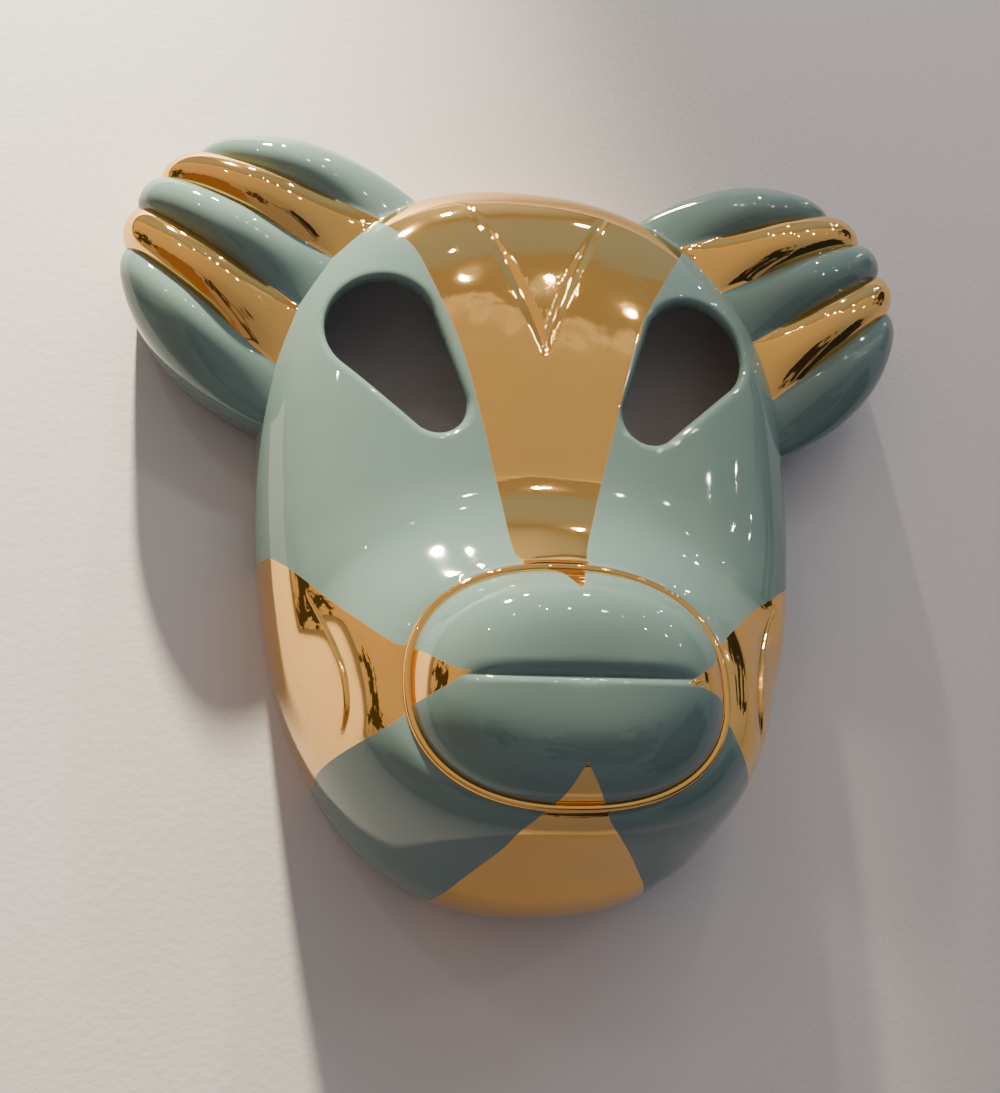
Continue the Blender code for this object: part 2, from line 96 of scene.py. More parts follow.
# The bridge of the nose sweeps up to the muzzle in a hollow curve
BRIDGE_SWEEP = 1.08
BRIDGE_HOLLOW = 2.35
BEAD_WIDTH = 0.0046
BEAD_HEIGHT = 0.0028
BEAD_FILL = 0.0019
MOUTH_DEPTH = 0.0034
MOUTH_UPPER_LIP = 0.0100
MOUTH_LOWER_LIP = 0.0048
MOUTH_HALF_LENGTH = 0.0660
MOUTH_LIP_POWER = 2.2
MOUTH_END_POWER = 4.0
# The eye holes, each the outline round a large and a small circle
EYE_LARGE = Vector((0.1020, 0.0865))
EYE_LARGE_RADIUS = 0.0340
EYE_SMALL = Vector((0.0675, 0.0350))
EYE_SMALL_RADIUS = 0.0180
EYE_ROLL = 0.0060
EYE_INNER_ROLL = 0.0014
# The ears: an oval dome on the wall side, scored into lobes that narrow outwards
EAR_CENTRE = Vector((0.1488, 0.1250))
EAR_ANGLE = math.radians(28.0)
EAR_REACH = 0.1190
EAR_HALF_WIDTH = 0.0970
EAR_OUTLINE_POWER = 2.1
EAR_DOME_POWER = 4.0
EAR_WIDEST_Z = 0.048
EAR_DEPTH_AT_HEAD = 0.060
EAR_DEPTH_OUTSIDE = 0.080
EAR_DEPTH_FADE = (-0.030, 0.060)
EAR_UNDERCUT = 0.0060
EAR_SIDE_SPAN = (-0.15, 0.58)
LOBES = 5
LOBE_PITCH = 0.0397
LOBE_TAPER = 0.107
LOBE_OFFSET = 0.0017
LOBE_VALLEY = 0.0088
LOBE_FADE = (-0.030, 0.045)
LOBE_ARC = math.radians(56.0)
# The valleys are shallower on the ear's rim
LOBE_RIM_SHARE = 0.50
LOBE_RIM_POWER = 6.0
# The engraved V on the forehead and the crescent fold on each cheek
VEE_FOOT = Vector((0.0, 0.0720))
VEE_BEND = Vector((0.0172, 0.1240))
VEE_TOP = Vector((0.0520, 0.1920))
VEE_WIDTH = 0.0080
VEE_DEPTH = 0.0013
CREASE_TOP = Vector((0.1418, MUZZLE_Y + 0.0547))
CREASE_BEND = Vector((0.1192, MUZZLE_Y + 0.0052))
CREASE_FOOT = Vector((0.1225, MUZZLE_Y - 0.0328))
CREASE_INNER = 0.0030
CREASE_OUTER = 0.0150
CREASE_DEPTH = 0.0028
CREASE_FULLNESS = 0.6
# A line's relief fades towards its ends by this power of its place along it
LINE_TAPER = 0.5
# How finely the surfaces are drawn
HEAD_COLUMNS = 288
MUZZLE_ROWS = 32
MOUTH_FINE_FROM = 0.024
BEAD_ROWS = 10
FACE_ROWS = 76
SIDE_ROWS = 30
SIDE_START = 0.885
LOBE_FACETS = 14
EAR_ROWS = 46
EAR_SIDE_ROWS = 9
CAVITY_COLUMNS = 108
CAVITY_MUZZLE_ROWS = (0.0, 0.20, 0.40, 0.58, 0.74, 0.86, 0.95)
CAVITY_FACE_ROWS = 12
CAVITY_SIDE_ROWS = 6
CAVITY_LOBE_FACETS = 6
CAVITY_EAR_ROWS = 22
EYE_LARGE_FACETS = 79
EYE_SMALL_FACETS = 48
# How far the head, the ears and their hollows run past the wall plane before the foot is cut flat
OVERRUN = 0.010
EAR_OVERRUN = 0.8 * OVERRUN
CAVITY_OVERRUN = 1.4 * OVERRUN
# Each half is drawn a little past the middle and mirrored there
HALF_OVERLAP = 0.006
FACE_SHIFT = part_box("mask")[0][1] - (HEAD_WIDEST_Y - HEAD_CHIN_REACH)

# The gold fields' edges on the left (-X) and right halves of the head, as seen from the front
FOREHEAD_LEFT = (
    (0.0000, -0.0909), (-0.0105, -0.0734), (-0.0189, -0.0702), (-0.0265, -0.0655),
    (-0.0282, -0.0584), (-0.0315, -0.0247), (-0.0422, 0.0310), (-0.0540, 0.0768),
    (-0.0723, 0.1231), (-0.0845, 0.1474), (-0.1120, 0.1790), (-0.1450, 0.2150),
)
FOREHEAD_RIGHT = (
    (0.0000, -0.0909), (0.0012, -0.0907), (0.0047, -0.0825), (0.0114, -0.0725),
    (0.0169, -0.0555), (0.0293, -0.0198), (0.0561, 0.0734), (0.0626, 0.0897),
    (0.0709, 0.1125), (0.1120, 0.1790), (0.1450, 0.2150),
)
CHEEK_LEFT_UPPER = (
    (-0.0590, -0.1362), (-0.0697, -0.1329), (-0.0869, -0.1205), (-0.1026, -0.1123),
    (-0.1570, -0.0640), (-0.1689, -0.0575), (-0.2000, -0.0500),
)
CHEEK_LEFT_LOWER = (
    (-0.0590, -0.1362), (-0.0865, -0.1520), (-0.0943, -0.1596), (-0.1226, -0.1761),
    (-0.1324, -0.1856), (-0.1332, -0.1925), (-0.1500, -0.2250),
)
CHEEK_RIGHT_UPPER = (
    (0.0548, -0.1408), (0.0773, -0.1268), (0.0856, -0.1164), (0.1181, -0.0910),
    (0.1700, -0.0620), (0.2100, -0.0450),
)
CHEEK_RIGHT_LOWER = (
    (0.0548, -0.1408), (0.0681, -0.1432), (0.0830, -0.1500), (0.0957, -0.1715),
    (0.1102, -0.1867), (0.1153, -0.1896), (0.1240, -0.1990), (0.1600, -0.2350),
)
CHIN_LEFT = (
    (0.0000, -0.1817), (-0.0112, -0.2000), (-0.0292, -0.2159), (-0.0364, -0.2257),
    (-0.0628, -0.2547), (-0.0850, -0.2850),
)
CHIN_RIGHT = (
    (0.0000, -0.1817), (0.0141, -0.2029), (0.0212, -0.2146), (0.0528, -0.2419),
    (0.0640, -0.2560), (0.0850, -0.2850),
)
GOLD_STEP = 0.0015
GOLD_TOP_Y = 0.26
GOLD_CHIN_Y = -0.33
# Written where the surface isn't gold at all
NO_GOLD = -0.05
GLAZE_LAP = 0.0100
# Which solid a face comes from
HEAD, EAR, HOLLOW, EYE, FOOT = (0.0, 1.0, 2.0, 3.0, 4.0)


def power_norm(x, y, power):
    return (abs(x) ** power + abs(y) ** power) ** (1.0 / power)


def smooth_step(value):
    value = min(max(value, 0.0), 1.0)
    return value * value * (3.0 - 2.0 * value)


def fade(value, span):
    """0 before the span, 1 past it, and a smooth step over it."""
    return smooth_step((value - span[0]) / (span[1] - span[0]))


def mix(start, end, share):
    return start + (end - start) * share


def bisect(test, low, high):
    """The value between low and high at which the test turns true."""
    for _ in range(34):
        middle = 0.5 * (low + high)
        if test(middle):
            high = middle
        else:
            low = middle
    return 0.5 * (low + high)


def head_half(up):
    """The reach and the outline's power of the head's upper or lower half."""
    if up > 0.0:
        return HEAD_TOP_REACH, HEAD_TOP_POWER
    return HEAD_CHIN_REACH, HEAD_CHIN_POWER


def side_power(y):
    """The shoulder between face and side is squarer towards the chin."""
    return mix(SIDE_TOP_POWER, SIDE_CHIN_POWER, smooth_step(-2.0 * y / HEAD_CHIN_REACH))


def head_share(x, y):
    """0 at the middle of the head, 1 on its outline."""
    up = y - HEAD_WIDEST_Y
    reach, power = head_half(up)
    return power_norm(x / HEAD_HALF_WIDTH, up / reach, power)


def muzzle_share(x, y):
    """0 at the middle of the muzzle, 1 on its foot."""
    up = y - MUZZLE_Y
    return power_norm(x / MUZZLE_HALF_WIDTH, up / MUZZLE_HALF_HEIGHT, MUZZLE_OUTLINE_POWER)


def muzzle_foot(y):
    """How far out the foot of the muzzle lies, further towards the chin."""
    up = y - MUZZLE_Y
    return MUZZLE_FOOT_DEPTH - MUZZLE_FOOT_LEAN * up + MUZZLE_FOOT_CURL * up * up


def muzzle_height(x, y):
    """The muzzle's own surface. The slip fills the corner between it and the bead."""
    foot = muzzle_foot(y) + BEAD_FILL
    rise = (1.0 - min(muzzle_share(x, y), 1.0) ** MUZZLE_POWER) ** MUZZLE_SHOULDER
    return foot + rise * (MUZZLE_FRONT - foot)


def bead_swell(part):
    """How far the bead stands out of its foot, from the muzzle's side to the cheek's."""
    fill = BEAD_FILL if part < 0.5 else 0.0
    return fill + (BEAD_HEIGHT - fill) * math.sqrt(1.0 - (2.0 * part - 1.0) ** 2)


def mouth_drop(x, y):
    """The mouth: a groove between two rounded lips, fading at its ends."""
    lip = MOUTH_UPPER_LIP if y > MUZZLE_Y else MOUTH_LOWER_LIP
    across = min(abs(y - MUZZLE_Y) / lip, 1.0)
    along = min(abs(x) / MOUTH_HALF_LENGTH, 1.0)
    return MOUTH_DEPTH * (1.0 - across) ** MOUTH_LIP_POWER * (1.0 - along**MOUTH_END_POWER)


def face_height(x, y):
    """How far the face stands out at a place inside the head's outline."""
    head = min(head_share(x, y), 1.0)
    height = (FACE_DEPTH - FACE_LEAN * y) * (1.0 - head ** side_power(y)) ** (1.0 / SIDE_ROUND)
    muzzle = muzzle_share(x, y)
    if muzzle < MUZZLE_EDGE:
        return muzzle_height(x, y)
    ring_y = mix(MUZZLE_Y, y, 1.0 / muzzle)
    foot = muzzle_foot(ring_y) - CHIN_LEAN * min(y - ring_y, 0.0)
    cheek = min((muzzle - 1.0) / CHEEK_SWELL, 1.0)
    bridge = min(max((muzzle - 1.0 - BEAD_WIDTH / MUZZLE_HALF_HEIGHT) / BRIDGE_SWEEP, 0.0), 1.0)
    upward = max((ring_y - MUZZLE_Y) / MUZZLE_HALF_HEIGHT, 0.0) ** 2
    rise = mix((1.0 - cheek) ** 2 * (1.0 + 2.0 * cheek), (1.0 - bridge) ** BRIDGE_HOLLOW, upward)
    return height + rise * max(foot - height, 0.0)


def bow(start, bend, end, count):
    """Points along a bow through three points."""
    pull = 2.0 * bend - 0.5 * (start + end)
    shares = [step / (count - 1) for step in range(count)]
    return [(1 - s) ** 2 * start + 2 * s * (1 - s) * pull + s * s * end for s in shares]


CREASE_LINE = bow(CREASE_TOP, CREASE_BEND, CREASE_FOOT, 24)
VEE_LINE = bow(VEE_FOOT, VEE_BEND, VEE_TOP, 16)


def nearest_on_line(line, place):
    """Signed distance from a line, positive on its left, and the share of the line reached."""
    best = None
    for index, (low, high) in enumerate(zip(line, line[1:])):
        run = high - low
        part = min(max((place - low).dot(run) / run.length_squared, 0.0), 1.0)
        off = place - (low + run * part)
        if best is None or off.length < abs(best[0]):
            side = 1.0 if run.x * off.y - run.y * off.x > 0.0 else -1.0
            best = (side * off.length, (index + part) / (len(line) - 1))
    return best


def taper(share):
    """1 at the middle of a line and 0 at its ends."""
    return max(4.0 * share * (1.0 - share), 0.0) ** LINE_TAPER


def vee_drop(x, y):
    """A round-bottomed channel with crisp edges, narrow at its ends."""
    distance, share = nearest_on_line(VEE_LINE, Vector((abs(x), y)))
    size = taper(share)
    part = abs(distance) / max(0.5 * VEE_WIDTH * size, 1e-6)
    return VEE_DEPTH * size * (1.0 - part * part) if part < 1.0 else 0.0


def crease_drop(x, y):
    """A fold that is steep on the muzzle's side and eases out towards the cheek."""
    distance, share = nearest_on_line(CREASE_LINE, Vector((abs(x), y)))
    size = taper(share)
    reach = CREASE_INNER if distance > 0.0 else CREASE_OUTER
    part = min(abs(distance) / max(reach * size, 1e-6), 1.0)
    return CREASE_DEPTH * size * (1.0 - part) ** 2 * (1.0 + CREASE_FULLNESS * part)


def eye_distance(x, y):
    """Distance from the edge of an eye hole, negative inside it."""
    run = EYE_SMALL - EYE_LARGE
    place = Vector((abs(x), y)) - EYE_LARGE
    across = abs(run.x * place.y - run.y * place.x) / run.length
    along = place.dot(run) / run.length
    lean = (EYE_LARGE_RADIUS - EYE_SMALL_RADIUS) / run.length
    upright = math.sqrt(1.0 - lean * lean)
    reach = upright * along - lean * across
    if reach < 0.0:
        return math.hypot(across, along) - EYE_LARGE_RADIUS
    if reach > upright * run.length:
        return math.hypot(across, along - run.length) - EYE_SMALL_RADIUS
    return upright * across + lean * along - EYE_LARGE_RADIUS


def outline_table(samples=720):
    """Points down the right half of the head's outline, chin to top, with the length so far."""
    table = []
    length = 0.0
    for step in range(samples + 1):
        turn = math.pi * (step / samples - 0.5)
        reach, power = head_half(turn)
        x = HEAD_HALF_WIDTH * abs(math.cos(turn)) ** (2.0 / power)
        y = HEAD_WIDEST_Y + math.copysign(reach * abs(math.sin(turn)) ** (2.0 / power), turn)
        if table:
            length += math.hypot(x - table[-1][1], y - table[-1][2])
        table.append((length, x, y))
    return table


def outline_point(table, share):
    """The outline's point at a share of its length, from the chin up to the top."""
    wanted = share * table[-1][0]
    for low, high in zip(table, table[1:]):
        if high[0] >= wanted:
            part = (wanted - low[0]) / (high[0] - low[0])
            return mix(low[1], high[1], part), mix(low[2], high[2], part)
    return table[-1][1:]


def even(count, start=0.0, end=1.0):
    return [mix(start, end, step / count) for step in range(count + 1)]


def muzzle_ring(turn):
    """A point of the muzzle's outline and the way out of it, for a turn from chin to nose."""
    power = MUZZLE_OUTLINE_POWER
    across = abs(math.cos(turn)) ** (2.0 / power)
    up = math.copysign(abs(math.sin(turn)) ** (2.0 / power), turn)
    place = Vector((MUZZLE_HALF_WIDTH * across, MUZZLE_Y + MUZZLE_HALF_HEIGHT * up))
    lean_across = across ** (power - 1.0) / MUZZLE_HALF_WIDTH
    lean_up = math.copysign(abs(up) ** (power - 1.0), turn) / MUZZLE_HALF_HEIGHT
    return place, Vector((lean_across, lean_up)).normalized()


def head_column(table, share, side, muzzle_rows, bead_rows, face_rows, side_rows):
    """The points of one column of the head, from the mouth out over the bead to the foot rim."""
    turn = math.pi * (share - 0.5)
    ring, out = muzzle_ring(turn)
    points = []
    for part in muzzle_rows:
        x, y = part * ring.x, mix(MUZZLE_Y, ring.y, part)
        points.append((x, y, muzzle_height(x, y)))
    rim = outline_point(table, share)
    start = ring
    for part in bead_rows:
        start = ring + out * (part * BEAD_WIDTH)
        points.append((start.x, start.y, face_height(start.x, start.y) + bead_swell(part)))

    def along(part):
        return mix(start.x, rim[0], part), mix(start.y, rim[1], part)

    shoulder = bisect(lambda part: head_share(*along(part)) > SIDE_START, 0.0, 1.0)
    for part in face_rows:
        x, y = along(part * shoulder)
        points.append((x, y, face_height(x, y)))
    top = (1.0 - SIDE_START ** side_power(rim[1])) ** (1.0 / SIDE_ROUND)
    for row in side_rows:
        level = row * top
        wanted = (1.0 - level**SIDE_ROUND) ** (1.0 / side_power(rim[1]))
        part = bisect(lambda value: head_share(*along(value)) > wanted, 0.0, 1.0)
        x, y = along(part) if level > 0.0 else rim
        points.append((x, y, face_height(x, y) if level > 0.0 else 0.0))
    points.append((rim[0], rim[1], -OVERRUN))
    return [Vector((side * x, y, z)) for x, y, z in points]


def lobe_line(lobe, along):
    """How far across the ear the line between two lobes lies."""
    return LOBE_OFFSET + (0.5 * LOBES - lobe) * (LOBE_PITCH - LOBE_TAPER * along)


def lobe_sink(lobe):
    """How deep a round lobe lies below its crown: 0 on the crown, 1 in the valleys beside it."""
    off = math.sin(LOBE_ARC) * (2.0 * (lobe % 1.0) - 1.0)
    return (1.0 - math.sqrt(1.0 - off**2)) / (1.0 - math.cos(LOBE_ARC))


class EarDome:
    """The ear's oval dome, or the hollow in it, which is smaller all round by the wall."""

    def __init__(self, inset):
        self.inset = inset
        self.reach = EAR_REACH - inset
        self.half_width = EAR_HALF_WIDTH - inset

    def share(self, along, across):
        """0 at the middle of the oval, 1 on its outline."""
        return power_norm(along / self.reach, across / self.half_width, EAR_OUTLINE_POWER)

    def rim_across(self, along):
        part = 1.0 - abs(along / self.reach) ** EAR_OUTLINE_POWER
        return self.half_width * part ** (1.0 / EAR_OUTLINE_POWER)

    def line_end(self, lobe, reach):
        """Where a line between two lobes meets the oval, outside or under the head."""

        def beyond(part):
            return self.share(part * reach, lobe_line(lobe, part * reach)) > 1.0

        return bisect(beyond, 0.0, 1.0) * reach

    def plan(self, part, lobe):
        """A point seen from the front: part runs along the lobes, lobe counts across them."""
        edge = min(max(lobe, 0.5), LOBES - 0.5)
        sweep = 0.5 + 0.5 * math.sin(math.pi * (part - 0.5))
        along = mix(self.line_end(edge, -self.reach), self.line_end(edge, self.reach), sweep)
        inner = Vector((along, lobe_line(edge, along)))
        if edge == lobe:
            return inner
        side = 1.0 if lobe < edge else -1.0
        along = mix(*EAR_SIDE_SPAN, sweep) * self.reach
        rim = Vector((along, side * self.rim_across(along)))
        out = math.sin(math.pi * min(abs(lobe - edge), 0.5))
        place = inner.lerp(rim, out)
        return place * (mix(self.share(*inner), 1.0, out) / self.share(*place))

    def surface(self, plan, lobe):
        """The surface over a point of the plan, sunk towards the lines between the lobes."""
        along, across = plan
        share = min(self.share(along, across), 1.0)
        depth = mix(EAR_DEPTH_AT_HEAD, EAR_DEPTH_OUTSIDE, fade(along, EAR_DEPTH_FADE))
        top = depth - EAR_WIDEST_Z - self.inset
        height = top * math.sqrt(max(1.0 - share**EAR_DOME_POWER, 0.0))
        power = EAR_OUTLINE_POWER
        slope = EAR_DOME_POWER * share ** (EAR_DOME_POWER - power)
        lean_along = slope * abs(along / self.reach) ** (power - 1.0) / self.reach
        lean_across = slope * abs(across / self.half_width) ** (power - 1.0) / self.half_width
        normal = Vector(
            (
                math.copysign(lean_along, along),
                math.copysign(lean_across, across),
                2.0 * height / top**2,
            )
        ).normalized()
        sink = 0.0
        if 0.5 < lobe < LOBES - 0.5:
            sink = lobe_sink(lobe) * LOBE_VALLEY * fade(along, LOBE_FADE)
            sink *= mix(1.0, LOBE_RIM_SHARE, share**LOBE_RIM_POWER)
        return Vector((along, across, EAR_WIDEST_Z + height)) - normal * sink

    def point(self, part, lobe, below):
        """A point of the dome, or of its side below the widest line, in the mask's frame."""
        place = self.surface(self.plan(part, lobe), lobe)
        if below > 0.0:
            flat = Vector((place.x, place.y))
            flat -= flat.normalized() * (EAR_UNDERCUT * min(below, 1.0) ** 2)
            height = EAR_WIDEST_Z * (1.0 - below) if below <= 1.0 else -EAR_OVERRUN - self.inset
            place = Vector((flat.x, flat.y, height))
        cosine, sine = math.cos(EAR_ANGLE), math.sin(EAR_ANGLE)
        x = EAR_CENTRE.x + place.x * cosine - place.y * sine
        y = EAR_CENTRE.y + place.x * sine + place.y * cosine
        return Vector((x, y, place.z))


def curve_points(control, step=GOLD_STEP):
    """A smooth curve through the given points, with a point every step."""
    ends = [2.0 * Vector(control[0]) - Vector(control[1])]
    ends += [Vector(point) for point in control]
    ends.append(2.0 * Vector(control[-1]) - Vector(control[-2]))
    points = []
    for before, start, end, after in zip(ends, ends[1:], ends[2:], ends[3:]):
        count = max(int((end - start).length / step), 1)
        for index in range(count):
            t = index / count
            points.append(
                0.5
                * (
                    2.0 * start
                    + (end - before) * t
                    + (2.0 * before - 5.0 * start + 4.0 * end - after) * t**2
                    + (3.0 * start - before - 3.0 * end + after) * t**3
                )
            )
    points.append(ends[-2])
    return points


def gold_fields():
    """Closed outlines of the gold fields on the head."""
    fields = []
    for first, second, reach in (
        (FOREHEAD_LEFT, FOREHEAD_RIGHT, GOLD_TOP_Y),
        (CHEEK_LEFT_UPPER, CHEEK_LEFT_LOWER, None),
        (CHEEK_RIGHT_UPPER, CHEEK_RIGHT_LOWER, None),
        (CHIN_LEFT, CHIN_RIGHT, GOLD_CHIN_Y),
    ):
        there, back = curve_points(first), curve_points(second)
        if reach is not None:
            there.append(Vector((there[-1].x, reach)))
            back.append(Vector((back[-1].x, reach)))
        fields.append(there + back[::-1])
    return fields


def field_depth(outline, places):
    """How deep each place lies inside a closed outline, negative outside it."""
    start = numpy.array([tuple(point) for point in outline])
    run = numpy.roll(start, -1, axis=0) - start
    keep = (run**2).sum(axis=1) > 1e-14
    start, run = start[keep], run[keep]
    nearest = numpy.full(len(places), 1e9)
    inside = numpy.zeros(len(places), dtype=bool)
    for (x, y), (dx, dy) in zip(start, run):
        off_x, off_y = places[:, 0] - x, places[:, 1] - y
        part = numpy.clip((off_x * dx + off_y * dy) / (dx * dx + dy * dy), 0.0, 1.0)
        nearest = numpy.minimum(nearest, numpy.hypot(off_x - part * dx, off_y - part * dy))
        crosses = (off_y > 0.0) != (off_y > dy)
        if dy != 0.0:
            inside ^= crosses & (off_x < off_y * dx / dy)
    return numpy.where(inside, nearest, -nearest)


def bead_depth(places):
    """How deep each place lies inside the bead round the muzzle."""
    power = MUZZLE_OUTLINE_POWER
    x = numpy.abs(places[:, 0]) / MUZZLE_HALF_WIDTH
    y = numpy.abs(places[:, 1] - MUZZLE_Y) / MUZZLE_HALF_HEIGHT
    share = numpy.maximum(x**power + y**power, 1e-6) ** (1.0 / power)
    lean_across = x ** (power - 1.0) / MUZZLE_HALF_WIDTH
    lean_up = y ** (power - 1.0) / MUZZLE_HALF_HEIGHT
    steep = numpy.hypot(lean_across, lean_up) * share ** (1.0 - power)
    offset = (share - 1.0) / steep
    return 0.5 * BEAD_WIDTH - numpy.abs(offset - 0.5 * BEAD_WIDTH)


def paint_head_gold(bm, finish, form):
    """Keeps how deep each point of the head lies in the nearest gold field."""
    bm.verts.index_update()
    places = numpy.array([tuple(vert.co.xy) for vert in bm.verts])
    depth = bead_depth(places)
    for outline in gold_fields():
        depth = numpy.maximum(depth, field_depth(outline, places))
    for face in bm.faces:
        for loop in face.loops:
            if round(loop[form].uv.y) == HEAD:
                loop[finish].uv.x = depth[loop.vert.index]


def paint(mesh, name, first, second):
    """Keeps two values for each point in a UV map, which the Booleans carry along."""
    layer = mesh.uv_layers.new(name=name)
    corners = numpy.empty(len(mesh.loops), dtype=numpy.int32)
    mesh.loops.foreach_get("vertex_index", corners)
    values = numpy.empty((len(mesh.loops), 2))
    values[:, 0] = numpy.broadcast_to(first, len(mesh.vertices))[corners]
    values[:, 1] = numpy.broadcast_to(second, len(mesh.vertices))[corners]
    layer.data.foreach_set("uv", values.ravel())


def close_below(bm):
    """Caps the open foot of a dome."""
    bmesh.ops.remove_doubles(bm, verts=bm.verts, dist=1e-5)
    edges = [edge for edge in bm.edges if edge.is_boundary]
    cap = bmesh.ops.contextual_create(bm, geom=edges)["faces"]
    bmesh.ops.poke(bm, faces=cap)
    bmesh.ops.recalc_face_normals(bm, faces=bm.faces)


def finish_mesh(name, bm):
    mesh = bpy.data.meshes.new(name)
    bm.to_mesh(mesh)
    bm.free()
    item = bpy.data.objects.new(name, mesh)
    bpy.context.scene.collection.objects.link(item)
    return item


def head_dome(columns, rows):
    """The head as a dome of columns from the mouth to the foot rim, open below."""
    table = outline_table()
    half = columns // 2
    grid = []
    for column in range(columns):
        side = 1.0 if column <= half else -1.0
        share = column / half if column <= half else (columns - column) / half
        grid.append(head_column(table, share, side, *rows))
    length = len(grid[0]) - 1
    bm = bmesh.new()
    bmesh.ops.create_grid(bm, x_segments=columns, y_segments=length, size=0.5)
    for vert in bm.verts:
        column = round((vert.co.x + 0.5) * columns) % columns
        row = round((vert.co.y + 0.5) * length)
        vert.co = grid[column][row]
    bmesh.ops.remove_doubles(bm, verts=bm.verts, dist=1e-5)
    bmesh.ops.recalc_face_normals(bm, faces=bm.faces)
    return bm


def relief_zone(x, y):
    """True near the V, the folds and the eyes, where the surface is drawn finer."""
    near_vee = abs(nearest_on_line(VEE_LINE, Vector((abs(x), y)))[0]) < 0.75 * VEE_WIDTH
    if near_vee or -0.004 < eye_distance(x, y) < 1.3 * EYE_ROLL:
        return True
    if MOUTH_FINE_FROM < abs(x) < MOUTH_HALF_LENGTH and abs(y - MUZZLE_Y) < 1.1 * MOUTH_UPPER_LIP:
        return True
    return abs(nearest_on_line(CREASE_LINE, Vector((abs(x), y)))[0]) < 1.1 * CREASE_OUTER


def refine(bm, zone, cuts):
    """Splits every face of a zone."""
    faces = [face for face in bm.faces if zone(*face.calc_center_median().xy)]
    edges = {edge for face in faces for edge in face.edges}
    bmesh.ops.subdivide_edges(bm, edges=list(edges), cuts=cuts, use_grid_fill=True)


def head_form():
    """The head's outer surface with all its relief."""
    muzzle_rows = [1.0 - (1.0 - part) ** 1.5 for part in even(MUZZLE_ROWS)]
    bead_rows = [0.5 - 0.5 * math.cos(math.pi * part) for part in even(BEAD_ROWS)[1:]]
    side_rows = even(SIDE_ROWS, 1.0, 0.0)[1:]
    bm = head_dome(HEAD_COLUMNS, (muzzle_rows, bead_rows, even(FACE_ROWS)[1:], side_rows))
    refine(bm, relief_zone, 2)
    for vert in bm.verts:
        x, y = vert.co.xy
        muzzle = muzzle_share(x, y)
        if muzzle < 0.97:
            vert.co.z = face_height(x, y) - mouth_drop(x, y)
        elif 1.15 < muzzle and head_share(x, y) < 0.97 and (y > 0.0 or abs(x) > 0.1):
            vert.co.z = face_height(x, y) - vee_drop(x, y) - crease_drop(x, y)
    bmesh.ops.bisect_plane(
        bm,
        geom=bm.verts[:] + bm.edges[:] + bm.faces[:],
        plane_co=(-HALF_OVERLAP, 0.0, 0.0),
        plane_no=(-1.0, 0.0, 0.0),
        clear_outer=True,
    )
    close_half(bm)
    item = finish_mesh("bear_mask", bm)
    paint(item.data, "finish", 0.0, 1.0)
    paint(item.data, "form", 0.0, HEAD)
    return item


def close_half(bm):
    """Closes a dome cut open at its foot and along its middle."""
    cut = [edge for edge in bm.edges if edge.is_boundary and on_cut(edge)]
    corners = sorted(
        (vert for vert in bm.verts if sum(edge in cut for edge in vert.link_edges) == 1),
        key=lambda vert: vert.co.y,
    )
    bridge = bm.edges.new(corners)
    side = bmesh.ops.contextual_create(bm, geom=cut + [bridge])["faces"]
    bmesh.ops.triangulate(bm, faces=side)
    close_below(bm)


def on_cut(edge):
    return all(vert.co.x < -0.98 * HALF_OVERLAP for vert in edge.verts)


def head_cavity():
    """The hollow of the head: its surface moved inwards by the wall."""
    side_rows = even(CAVITY_SIDE_ROWS, 1.0, 0.0)[1:]
    face_rows = even(CAVITY_FACE_ROWS)
    bm = head_dome(CAVITY_COLUMNS, (CAVITY_MUZZLE_ROWS, (), face_rows, side_rows))
    bm.normal_update()
    moved = {vert: vert.co - vert.normal * WALL for vert in bm.verts}
    for vert, place in moved.items():
        if vert.co.z < -0.5 * OVERRUN:
            above = max((edge.other_vert(vert) for edge in vert.link_edges), key=lambda v: v.co.z)
            place = moved[above].copy()
            place.z = -CAVITY_OVERRUN
        moved[vert] = place
    for vert, place in moved.items():
        vert.co = place
    close_below(bm)
    item = finish_mesh("head_cavity", bm)
    paint(item.data, "finish", NO_GOLD, 0.0)
    paint(item.data, "form", 0.0, HOLLOW)
    return item


def ear_form(name, facets, rows, side_rows, inset, kind):
    """A dome on a grid of lobe lines, with rows for its side round the whole outline."""
    dome = EarDome(inset)
    side = len(side_rows)
    across = LOBES * facets
    bm = bmesh.new()
    width, length = across + 2 * side, rows + 2 * side
    bmesh.ops.create_grid(bm, x_segments=width, y_segments=length, size=0.5)
    lobes = {}
    for vert in bm.verts:
        column = round((vert.co.x + 0.5) * width)
        row = round((vert.co.y + 0.5) * length)
        layer = min(column, row, width - column, length - row)
        below = side_rows[layer] if layer < side else 0.0
        lobe = min(max(column - side, 0), across) / facets
        part = min(max(row - side, 0), rows) / rows
        vert.co = dome.point(part, lobe, below)
        lobes[tuple(vert.co)] = lobe
    close_below(bm)
    item = finish_mesh(name, bm)
    counted = [lobes.get(tuple(vert.co), 0.0) for vert in item.data.vertices]
    gold = [LOBE_PITCH * lobe_gold(lobe) for lobe in counted] if kind == EAR else NO_GOLD
    paint(item.data, "finish", gold, 1.0 if kind == EAR else 0.0)
    paint(item.data, "form", 0.0, kind)
    return item


def lobe_gold(lobe):
    """The second and the fourth lobe are gold: above 0 inside them."""
    return 0.5 - min(abs(lobe - 1.5), abs(lobe - 3.5))


